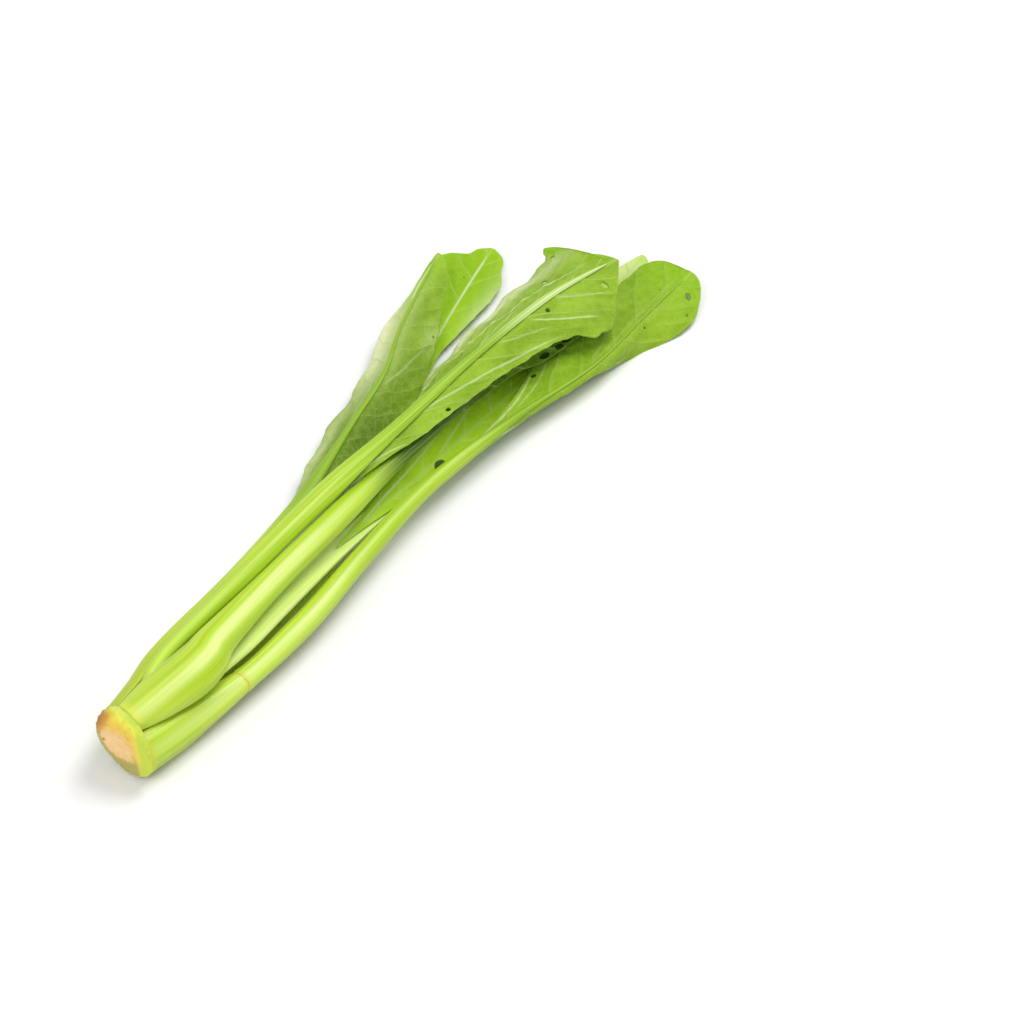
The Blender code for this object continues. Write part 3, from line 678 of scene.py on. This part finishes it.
def bite(keep, u, v, outer, inner, holes):
    # Takes the cells inside each hole away and draws its edge to a ragged round line
    along_u = np.gradient(outer, axis=0) / np.gradient(u, axis=0)[..., None]
    across_v = np.gradient(outer, axis=1) / np.gradient(v, axis=1)[..., None]
    ends = (slice(1, None), slice(None, -1))
    corners = [(r, c) for c in ends for r in ends]
    for k, (hu, hv, radius) in enumerate(holes):
        du = u - hu
        dv = v - hv
        turn = np.arctan2(dv, du)
        edge = radius * (1.0 + 0.16 * np.sin(2 * turn + k) + 0.1 * np.sin(5 * turn + 2 * k))
        far = np.hypot(du, dv)
        middle = 0.25 * sum(far[corner] for corner in corners)
        line = 0.25 * sum(edge[corner] for corner in corners)
        gone = middle < line
        keep &= ~gone
        touched = np.zeros(u.shape, dtype=bool)
        for corner in corners:
            touched[corner] |= gone
        stretch = np.where(touched, edge / np.maximum(far, 0.2) - 1.0, 0.0)
        stretch = np.clip(stretch, -0.6, 0.9)
        shift = (stretch * du)[..., None] * along_u + (stretch * dv)[..., None] * across_v
        outer += shift
        inner += shift
        u += stretch * du
        v += stretch * dv


def solid_blade(keep):
    # Faces of both sides, and walls wherever a side ends: round the margin and round each hole
    rows, cols = (n + 1 for n in keep.shape)
    index = np.arange(rows * cols).reshape(rows, cols)
    a = index[:-1, :-1][keep]
    b = index[:-1, 1:][keep]
    c = index[1:, 1:][keep]
    d = index[1:, :-1][keep]
    under = rows * cols
    top = np.column_stack([a, b, c, d])
    low = np.column_stack([d, c, b, a]) + under
    ring = np.zeros((rows + 1, cols + 1), dtype=bool)
    ring[1:-1, 1:-1] = keep
    walls = []
    for rs, cs, p, q in (
        (slice(0, -2), slice(1, -1), index[:-1, :-1], index[:-1, 1:]),
        (slice(2, None), slice(1, -1), index[1:, 1:], index[1:, :-1]),
        (slice(1, -1), slice(0, -2), index[1:, :-1], index[:-1, :-1]),
        (slice(1, -1), slice(2, None), index[:-1, 1:], index[1:, 1:]),
    ):
        bare = keep & ~ring[rs, cs]
        walls.append(np.column_stack([q[bare], p[bare], p[bare] + under, q[bare] + under]))
    wall = np.vstack(walls)
    return np.vstack([top, low, wall]), len(top) + len(low)


def add_object(name, data):
    thing = bpy.data.objects.new(name, data)
    bpy.context.scene.collection.objects.link(thing)
    return thing


def make_piece(name, verts, faces, caps, flat_from, corner_uv, values, material):
    # A mesh object in metres with its places in millimetres and its values at each point
    mesh = bpy.data.meshes.new(name)
    polys = [tuple(int(k) for k in f) for f in faces] + [tuple(int(k) for k in f) for f in caps]
    mesh.from_pydata([tuple(p) for p in (verts - SHIFT) * MM], [], polys)
    mesh.update()
    layer = mesh.uv_layers.new(name="leaf")
    layer.data.foreach_set("uv", np.asarray(corner_uv, dtype=np.float32).ravel())
    for key, data in values.items():
        attribute = mesh.attributes.new(key, "FLOAT", "POINT")
        attribute.data.foreach_set("value", np.asarray(data, dtype=np.float32).ravel())
    mesh.polygons.foreach_set("use_smooth", np.arange(len(polys)) < flat_from)
    mesh.materials.append(material)
    return add_object(name, mesh)


def tint_of(leaf, kind, u, v):
    # How strong a kind of tint is at each place of a blade
    total = np.zeros_like(u)
    for name, mu, mv, ru, rv, strength in leaf["tints"]:
        if name == kind:
            total = np.maximum(total, strength * np.exp(-((u - mu) / ru) ** 2 - ((v - mv) / rv) ** 2))
    return total


def blade_piece(name, leaf, number):
    points, u, v, margin, rib = blade_grid(leaf)
    outer, inner = blade_faces(points, u, v, margin, leaf)
    keep = np.ones((u.shape[0] - 1, u.shape[1] - 1), dtype=bool)
    bite(keep, u, v, outer, inner, leaf["holes"])
    faces, flat_from = solid_blade(keep)
    verts = np.vstack([outer.reshape(-1, 3), inner.reshape(-1, 3)])
    verts[:, 2] = np.maximum(verts[:, 2], SHIFT[2])
    both = {
        "edge": np.tile(margin.ravel(), 2),
        "rib": np.tile(rib.ravel(), 2),
        "inside": np.repeat([0.0, 1.0], u.size),
    }
    for kind in ("lime", "pale", "dusk"):
        both[kind] = np.tile(tint_of(leaf, kind, u, v).ravel(), 2)
    place = np.tile(np.column_stack([u.ravel(), v.ravel()]), (2, 1))
    uv = place[faces.ravel()]
    look = blade_material(name + "_blade_look", leaf, number)
    piece = make_piece(name + "_blade_fine", verts, faces, [], flat_from, uv, both, look)
    finish_piece(piece, name + "_blade")


def tube_faces(rows, count):
    # Faces of a tube of rings, and the ring and the place in it of each corner
    i = np.repeat(np.arange(rows - 1), count)
    k = np.tile(np.arange(count), rows - 1)
    n = (k + 1) % count
    faces = np.column_stack([i * count + k, i * count + n, (i + 1) * count + n, (i + 1) * count + k])
    column = np.column_stack([k, k + 1, k + 1, k])
    row = np.column_stack([i, i, i + 1, i + 1])
    return faces, row, column


def tube_caps(rows, count):
    return [tuple(range(count - 1, -1, -1)), tuple((rows - 1) * count + k for k in range(count))]


def stalk_piece(name, leaf, number):
    points, x, arc = stalk_grid(name, leaf)
    rows, count = points.shape[:2]
    faces, row, column = tube_faces(rows, count)
    caps = tube_caps(rows, count)
    uv = [np.column_stack([x[row.ravel()], arc[row.ravel(), column.ravel()]])]
    uv.append(np.column_stack([np.full(count, x[0]), arc[0, :count][::-1]]))
    uv.append(np.column_stack([np.full(count, x[-1]), arc[-1, :count]]))
    verts = points.reshape(-1, 3)
    verts[:, 2] = np.maximum(verts[:, 2], SHIFT[2])
    turn = 2 * math.pi * (np.arange(count) + 0.5) / count
    back = np.tile(ramp(-np.sin(turn), 0.0, 0.8), rows)
    look = stalk_material(name + "_stalk_look", leaf, number)
    values = {"inside": back}
    piece = make_piece(name + "_stalk_fine", verts, faces, caps, len(faces), np.vstack(uv), values, look)
    finish_piece(piece, name + "_stalk")


def stem_ring(share, swell, lift, turn):
    # A ring of the stem base, and its places along the long and the short half of the oval
    long_axis = np.array([math.cos(STEM_LEAN), math.sin(STEM_LEAN)])
    short_axis = np.array([-math.sin(STEM_LEAN), math.cos(STEM_LEAN)])
    wobble = swell * (1.0 + 0.02 * np.sin(3 * turn + 0.6) + 0.012 * np.sin(5 * turn))
    out = STEM_HALF_LONG * wobble * np.cos(turn) + lift
    over = STEM_HALF_SHORT * wobble * np.sin(turn)
    flat = np.outer(out, long_axis) + np.outer(over, short_axis)
    reach = STEM_LENGTH + SLANT_UP * flat[:, 1] + SLANT_LEFT * flat[:, 0]
    cut = CUT_SLOPE * out
    x = cut + share * (reach - cut)
    points = np.column_stack([x, flat[:, 0] + STEM_CENTRE_Y, flat[:, 1] + STEM_CENTRE_Z])
    return points, np.column_stack([out, over])


def stem_piece():
    # The cut face in fine rings from the middle out, then the rounded skin to the front
    count = FINE_ROUND
    turn = 2 * math.pi * np.arange(count) / count
    face = STEM_RINGS[0][1]
    plan = []
    for part in np.linspace(0.05, 1.0, FACE_RINGS):
        rough = 0.14 * np.sin(7 * turn + 9 * part) * np.sin(4 * turn - 17 * part)
        rough = rough + 0.08 * np.sin(19 * turn + 31 * part)
        dish = 0.5 * (1.0 - part * part) + rough * part
        plan.append((0.0, face * part, STEM_RINGS[0][2], dish, part))
    for share in np.linspace(0.0, 1.0, SKIN_RINGS + 1)[1:] ** 1.5:
        swell, lift = smooth(STEM_RINGS, [share])[0]
        rough = 1.0 + 0.010 * np.sin(13 * turn + 20 * share) + 0.006 * np.sin(29 * turn + 9 * share)
        rough = rough - 0.05 * ramp(share, 0.8, 1.0)
        plan.append((share, swell * rough, lift, 0.0, 1.0 + share))
    rings = []
    places = []
    depth = []
    for share, swell, lift, dish, ring in plan:
        points, place = stem_ring(share, swell, lift, turn)
        points[:, 0] += dish
        rings.append(points)
        places.append(place)
        depth.append(np.full(count, ring))
    faces = tube_faces(len(rings), count)[0]
    caps = tube_caps(len(rings), count)
    verts = np.vstack(rings)
    place = np.vstack(places)
    uv = np.vstack([place[faces.ravel()], place[list(caps[0])], place[list(caps[1])]])
    values = {"ring": np.concatenate(depth), "foot": 1.5 * verts[:, 0] + place[:, 1] - 1.1 * place[:, 0]}
    piece = make_piece("stem_base_fine", verts, faces, caps, len(faces), uv, values, stem_material())
    finish_piece(piece, "stem_base")


def finish_piece(piece, node):
    # Every piece is part of the one body
    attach(piece, "root")
    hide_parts(node)


# Materials
def settings(node, values):
    for key, value in values.items():
        node.inputs[key].default_value = value


def new_material(name):
    material = bpy.data.materials.new(name)
    material.use_nodes = True
    tree = material.node_tree
    place = tree.nodes.new("ShaderNodeUVMap")
    place.uv_map = "leaf"
    split = tree.nodes.new("ShaderNodeSeparateXYZ")
    tree.links.new(place.outputs[0], split.inputs[0])
    u = Value(tree, split.outputs[0])
    v = Value(tree, split.outputs[1])
    return material, tree, tree.nodes["Principled BSDF"], u, v


def point_value(tree, name):
    node = tree.nodes.new("ShaderNodeAttribute")
    node.attribute_name = name
    return Value(tree, node.outputs["Fac"])


def vector(u, v, w):
    # A place for a texture from node values or plain numbers
    node = u.tree.nodes.new("ShaderNodeCombineXYZ")
    for place, item in enumerate((u, v, w)):
        if isinstance(item, Value):
            u.tree.links.new(item.socket, node.inputs[place])
        else:
            node.inputs[place].default_value = item
    return node.outputs[0]


def noise(u, v, w, scale, detail=3.0, rough=0.5):
    node = u.tree.nodes.new("ShaderNodeTexNoise")
    settings(node, {"Scale": scale, "Detail": detail, "Roughness": rough})
    u.tree.links.new(vector(u, v, w), node.inputs["Vector"])
    return Value(u.tree, node.outputs["Fac"])


def cells(u, v, w, scale):
    # Distance to the nearest edge of uneven cells
    node = u.tree.nodes.new("ShaderNodeTexVoronoi")
    node.feature = "DISTANCE_TO_EDGE"
    node.inputs["Scale"].default_value = scale
    u.tree.links.new(vector(u, v, w), node.inputs["Vector"])
    return Value(u.tree, node.outputs["Distance"])


def mix(factor, first, second):
    # First colour where factor is 0, second where it is 1
    node = factor.tree.nodes.new("ShaderNodeMix")
    node.data_type = "RGBA"
    factor.tree.links.new(factor.socket, node.inputs[0])
    for place, item in ((6, first), (7, second)):
        if isinstance(item, tuple):
            node.inputs[place].default_value = (*item, 1.0)
        else:
            factor.tree.links.new(item, node.inputs[place])
    return node.outputs[2]


def paint(shader, colour, rough):
    rough.tree.links.new(colour, shader.inputs["Base Color"])
    rough.tree.links.new(rough.socket, shader.inputs["Roughness"])


def bump(height, shader, distance, strength):
    node = height.tree.nodes.new("ShaderNodeBump")
    settings(node, {"Strength": strength, "Distance": distance})
    height.tree.links.new(height.socket, node.inputs["Height"])
    height.tree.links.new(node.outputs[0], shader.inputs["Normal"])
    return node.outputs[0]


def blade_material(name, leaf, number):
    material, tree, shader, u, v = new_material(name)
    inside = point_value(tree, "inside")
    main, lesser = side_veins(u, v, leaf["veins"])
    away = magnitude(v)
    # Side veins: narrower toward the margin
    main_line = fall(main + away * 0.012, 0.10, 0.50)
    lesser_line = fall(lesser + away * 0.01, 0.05, 0.36) * ramp(away, 3.0, 8.0)
    halo = fall(main, 0.2, 2.0)
    # Net of small veins, warped so that its cells are uneven, on a patchy ground
    warp = noise(u, v, number * 7.0, 0.30, 3.0)
    wide_net = cells(u * 0.8 + warp * 4.0, v + warp * 3.0, number * 3.0, 0.30)
    fine_net = cells(u + warp * 3.0, v - warp * 3.4, number * 5.0, 0.80)
    net = fall(wide_net, 0.0, 0.16) * 0.6 + fall(fine_net, 0.0, 0.2) * 0.4
    patch = ramp(noise(u * 0.5, v, number * 11.0, 0.09, 3.0), 0.32, 0.68)
    grain = noise(u, v, number * 2.0, 0.7, 4.0, 0.6)
    outer = mix(patch, OUTER_DARK, OUTER_LIGHT)
    inner = mix(patch, INNER_DARK, INNER_LIGHT)
    colour = mix(inside, outer, inner)
    # Painted shade where the blade lies under other leaves
    colour = mix(point_value(tree, "dusk"), colour, SHADE_AND_GRAIN_GREEN)
    colour = mix(point_value(tree, "pale"), colour, PALE_BLADE)
    colour = mix(point_value(tree, "lime"), colour, LIME)
    colour = mix(ramp(grain, 0.4, 0.8) * 0.12, colour, SHADE_AND_GRAIN_GREEN)
    colour = mix(halo * (0.2 * leaf["vein_show"]), colour, VEIN)
    colour = mix(net * (0.17 - 0.06 * inside), colour, VEIN)
    colour = mix(lesser_line * (0.4 * leaf["vein_show"]), colour, VEIN)
    colour = mix(main_line * leaf["vein_show"], colour, VEIN)
    rib = point_value(tree, "rib") * (0.7 - 0.55 * inside)
    colour = mix(fall(away - rib, -0.3, 0.8) * 0.4, colour, VEIN)
    for plan in leaf["streaks"]:
        colour = mix(streak(u, v, plan), colour, BUNDLE)
    colour = mix(fall(point_value(tree, "edge"), 0.0, 0.5) * 0.3, colour, VEIN)
    # Bites painted dark: painted shade, as seen through a hole
    for plan in leaf["shade_marks"]:
        colour = mix(mark(u, v, plan) * 0.95, colour, HOLE_SHADE)
    paint(shader, colour, 0.42 + grain * 0.14)
    settings(shader, {"Specular IOR Level": 0.3, "Specular Tint": (0.85, 1.0, 0.4, 1.0)})
    raised = 1.0 - inside * 1.7
    height = (net * 0.4 + main_line * 0.6) * raised + grain * 0.6
    normal = bump(height, shader, 0.00022, 0.8)
    # Light that comes through the thin blade
    through = tree.nodes.new("ShaderNodeBsdfTranslucent")
    tree.links.new(mix(net * 0.3, colour, LIME), through.inputs["Color"])
    tree.links.new(normal, through.inputs["Normal"])
    blend = tree.nodes.new("ShaderNodeMixShader")
    blend.inputs[0].default_value = 0.22
    tree.links.new(shader.outputs[0], blend.inputs[1])
    tree.links.new(through.outputs[0], blend.inputs[2])
    tree.links.new(blend.outputs[0], tree.nodes["Material Output"].inputs["Surface"])
    return material


def stalk_material(name, leaf, number):
    material, tree, shader, u, v = new_material(name)
    low, high, light = leaf["stalk_colours"]
    ridge, half_ridge, strength = leaf["ridge"]
    fade_from, fade_to = leaf["fade"]
    inside = point_value(tree, "inside")
    # Long fibres: noise drawn out along the stalk, in three widths
    broad = noise(u * 0.008, v * 0.22, number * 3.0, 1.0, 2.0)
    fibre = noise(u * 0.012, v * 0.9, number * 5.0, 1.0, 2.0, 0.5)
    thread = noise(u * 0.03, v * 3.2, number * 8.0, 1.0, 2.0, 0.5)
    speck = noise(u, v, number * 2.0, 1.2, 3.0, 0.6)
    colour = mix(ramp(broad, 0.35, 0.65), low, high)
    # Pale band along the crest: partly its own paler ridge, partly a painted highlight
    crest = fall(magnitude(v - ridge + (fibre - 0.5) * 1.6), 0.15 * half_ridge, half_ridge)
    crest = crest * (1.0 - 0.85 * ramp(u, 90.0, 145.0))
    colour = mix(crest * strength, colour, light)
    # Olive sides: partly their own colour, partly painted shade
    flank_shade = ramp(magnitude(v - ridge), 0.8 * half_ridge, 2.0 * half_ridge)
    colour = mix(flank_shade * leaf["flank_shade"], colour, OLIVE)
    colour = mix(ramp(fibre, 0.5, 0.72) * 0.30, colour, light)
    colour = mix(ramp(thread, 0.52, 0.75) * 0.16, colour, light)
    colour = mix(ramp(speck, 0.5, 0.8) * 0.10, colour, low)
    colour = mix(ramp(u, 98.0, 150.0) * 0.4, colour, low)
    # Toward the tip the rib takes the colour of its blade, with pale bundles in it
    # On broad_leaf these rib colours are dark painted shade, where the rib runs under top_leaf
    far = ramp(u, fade_from, fade_to)
    stripes = ramp(noise(u * 0.01, v * 2.2, number * 6.0, 1.0, 1.0), 0.44, 0.58)
    colour = mix(far, colour, mix(stripes, *leaf["rib_colours"]))
    if leaf["pale_rib"]:
        pale_from, pale_to, pale = leaf["pale_rib"]
        colour = mix(ramp(u, pale_from, pale_to) * (0.3 + stripes * 0.7) * pale, colour, BUNDLE)
    # Paler at the foot, with the ragged fringe of the cut
    foot = fall(u, 8.0, 48.0)
    colour = mix(foot * 0.35, colour, leaf["foot_colour"])
    ragged = u + noise(u * 0.3, v * 1.2, number * 4.0, 1.0, 3.0, 0.7) * 4.0
    colour = mix(fall(ragged, 7.5, 11.5) * 0.5, colour, leaf["fringe_colour"])
    colour = mix(inside * 0.12, colour, light)
    if leaf["crack"] > 0:
        crack = magnitude(u - leaf["crack"] + (noise(u * 0.2, v, 3.0, 0.5, 2.0) - 0.5) * 1.4)
        colour = mix(fall(crack, 0.2, 1.6) * 0.45, colour, FIBRE)
        colour = mix(fall(crack, 0.05, 0.5) * 0.55, colour, OLIVE)
    paint(shader, colour, 0.30 + fibre * 0.12 + far * 0.14)
    settings(shader, {
        "Specular IOR Level": 0.45, "Specular Tint": (0.9, 1.0, 0.7, 1.0),
        "Subsurface Weight": 0.05, "Subsurface Radius": (0.6, 1.0, 0.15), "Subsurface Scale": 0.002,
        "Coat Weight": 0.08, "Coat Roughness": 0.28,
    })
    bump(fibre * 0.8 + thread * 0.4 + speck * 0.15, shader, 0.00016, 0.7)
    return material


def stem_material():
    # a runs up the long half of the oval, b up its short half, from the middle of the stem
    material, tree, shader, a, b = new_material("stem_base_look")
    ring = point_value(tree, "ring")
    mottle = noise(a, b, 0.0, 0.30, 4.0, 0.6)
    fleck = noise(a, b, 4.0, 1.1, 4.0, 0.7)
    drawn = noise(a * 0.6, b * 0.6, ring * 2.0, 1.0, 3.0, 0.6)
    wander = (mottle - 0.5) * 0.8
    colour = mix(ramp(mottle, 0.35, 0.7), PITH, PITH_LIGHT)
    colour = mix(ramp(ring + wander, 0.86, 1.12) * 0.75, colour, FIBRE)
    # Skin of the sides: greyish at the lower left, yellow to lime above
    upper = ramp(b + mottle * 4.0, 2.0, 7.0)
    side = mix(upper, SKIN, FIBRE)
    side = mix(ramp(ring + wander * 0.5, 1.12, 1.5) * upper, side, FRINGE)
    side = mix(ramp(ring + wander * 0.5, 1.45, 1.85), side, STALK_FOOT)
    colour = mix(ramp(ring + wander * 0.6 + ramp(b, 1.0, -5.0) * 0.1, 0.98, 1.14), colour, side)
    # Rust where the cut has dried at the top of the oval, and a bark-brown line beyond it
    rust = ramp(a + mottle * 3.0 - magnitude(b - 1.0) * 0.25, 8.6, 12.2) * fall(ring, 1.3, 1.75)
    colour = mix(rust * 0.85, colour, RUST)
    line = ramp(a + mottle * 2.0, 11.5, 13.5) * fall(b, 1.0, 6.0)
    colour = mix(line * 0.6, colour, BARK)
    around = ramp(drawn, 0.5, 0.72) * ramp(ring, 0.8, 1.0) * fall(ring, 1.3, 1.7)
    colour = mix(around * 0.35, colour, RUST)
    speck = fall(magnitude(a - 6.3) + magnitude(b + 3.2), 0.5, 1.2)
    colour = mix(speck * 0.7, colour, BARK)
    scar = ramp(ring, 1.5, 1.75) * ramp(a, -2.0, 1.0) * fall(a, 6.0, 9.0) * ramp(b, 3.0, 6.0)
    colour = mix(scar * 0.6, colour, SCAR_GREEN)
    # The green foot of the stalk at the lower right starts on the stem
    foot = point_value(tree, "foot") + wander * 2.0
    lower = fall(a, -2.0, 3.0)
    colour = mix(ramp(foot, 9.5, 12.4) * lower * 0.7, colour, FRINGE)
    colour = mix(ramp(foot, 12.4, 15.4) * lower * 0.85, colour, FOOT_GREEN)
    paint(shader, colour, 0.48 + fleck * 0.25)
    settings(shader, {
        "Specular IOR Level": 0.4,
        "Subsurface Weight": 0.08, "Subsurface Radius": (1.0, 0.6, 0.25), "Subsurface Scale": 0.002,
    })
    bump(fleck + mottle * 0.7, shader, 0.0005, 0.8)
    return material


def floor_and_light():
    mesh = bpy.data.meshes.new("floor")
    half = 3.0
    corners = [(-half, -half, 0), (half, -half, 0), (half, half, 0), (-half, half, 0)]
    mesh.from_pydata(corners, [], [(0, 1, 2, 3)])
    material = bpy.data.materials.new("floor_look")
    material.use_nodes = True
    shader = material.node_tree.nodes["Principled BSDF"]
    settings(shader, {"Base Color": (0.9, 0.9, 0.9, 1.0), "Roughness": 0.9, "Specular IOR Level": 0.1})
    mesh.materials.append(material)
    floor = add_object("floor", mesh)
    world = bpy.data.worlds.new("studio")
    bpy.context.scene.world = world
    world.use_nodes = True
    settings(world.node_tree.nodes["Background"], {"Color": (1.0, 1.0, 1.0, 1.0), "Strength": 0.58})
    # Place in metres, size and power of each soft light
    for name, place, size, power in (
        ("key", (0.80, -0.08, 1.25), 0.8, 13.0),
        ("front", (-1.10, -0.15, 0.85), 0.9, 6.5),
    ):
        data = bpy.data.lights.new(name, "AREA")
        data.size = size
        data.energy = power
        lamp = add_object(name, data)
        lamp.location = place
        lamp.rotation_mode = "QUATERNION"
        lamp.rotation_quaternion = (-Vector(place)).to_track_quat("-Z", "Y")


def make_camera():
    # From the cut end and a little to its right, 43 degrees above the surface
    right = Vector((0.6414, -0.7672, 0.0))
    up = Vector((0.5232, 0.4374, 0.7314))
    back = right.cross(up).normalized()
    target = Vector((163.0, 10.0, 12.0)) - Vector(SHIFT)
    data = bpy.data.cameras.new("camera")
    data.sensor_width = 36.0
    data.lens = 195.5
    data.shift_x = 0.1039
    data.shift_y = -0.0202
    data.clip_start = 0.1
    data.clip_end = 20.0
    camera = add_object("camera", data)
    turn = Matrix((right, up, back)).transposed().to_4x4()
    camera.matrix_world = Matrix.Translation(target * MM + back * 2.0) @ turn
    bpy.context.scene.camera = camera


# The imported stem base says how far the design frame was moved
stem_turn = 2 * math.pi * np.arange(PACKED_ROUND) / PACKED_ROUND
stem_low = np.vstack([stem_ring(*ring, stem_turn)[0] for ring in STEM_RINGS])
SHIFT = stem_low.min(axis=0) - np.array(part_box("stem_base")[0]) / MM

for number, (leaf_name, own) in enumerate(LEAVES.items(), 1):
    stalk_piece(leaf_name, {**SHARED, **own}, float(number))
    blade_piece(leaf_name, {**SHARED, **own}, float(number))
stem_piece()
floor_and_light()
make_camera()
bpy.context.scene.view_settings.view_transform = "Standard"
